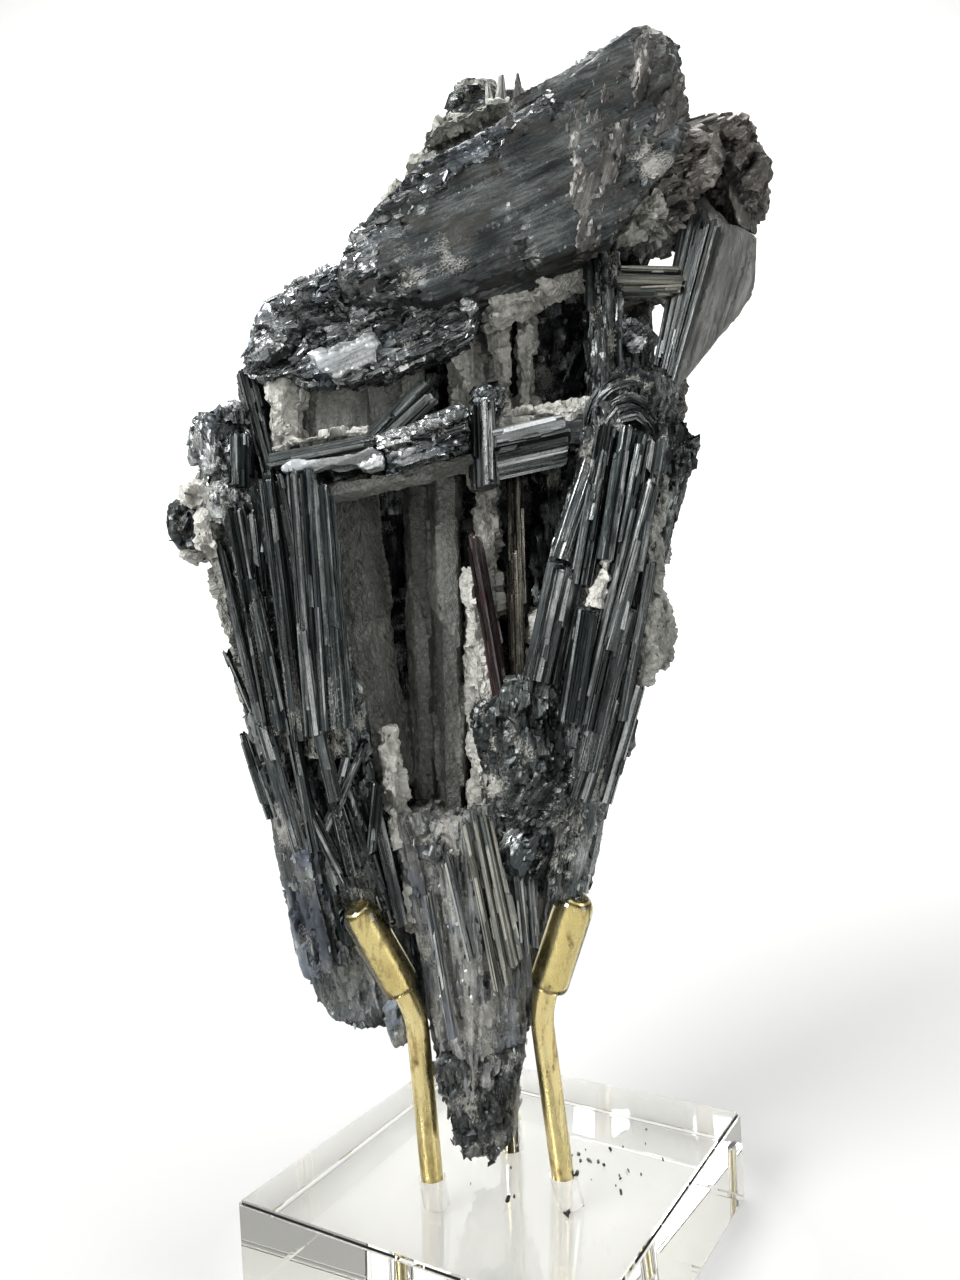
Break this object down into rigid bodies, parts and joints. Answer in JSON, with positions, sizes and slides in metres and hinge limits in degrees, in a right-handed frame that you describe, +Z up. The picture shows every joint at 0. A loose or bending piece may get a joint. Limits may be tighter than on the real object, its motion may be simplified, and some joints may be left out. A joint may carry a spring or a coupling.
{
  "type": "stibnite crystal cluster on a claw stand",
  "caption": "Tapering cluster of dark striated stibnite blades with pale drusy laths in an open hollow, gripped point down by sleeved brass prongs on a clear block.",
  "frame": {"origin": "centre of the acrylic block's underside", "axes": "+Z up, along the specimen's length; the specimen's open front faces -Y, with +X to the right as seen from the front"},
  "size_m": [0.0803, 0.0694, 0.1617],
  "materials": {
    "stibnite": "dark lead grey with a metallic lustre on the striated faces, a blue tarnish in patches, and a pale grey granular quartz druse",
    "acrylic": "clear, polished",
    "brass": "bare, satin, with brown specks and streaks",
    "vinyl": "clear with a slight yellow cast, glossy"
  },
  "bodies": {
    "root": {"stibnite_cluster": "stibnite", "acrylic_block": "acrylic", "brass_rod_left": "brass", "brass_rod_right": "brass", "brass_rod_back": "brass", "tip_sleeve_left": "vinyl", "tip_sleeve_right": "vinyl", "tip_sleeve_back": "vinyl"}
  },
  "joints": []
}
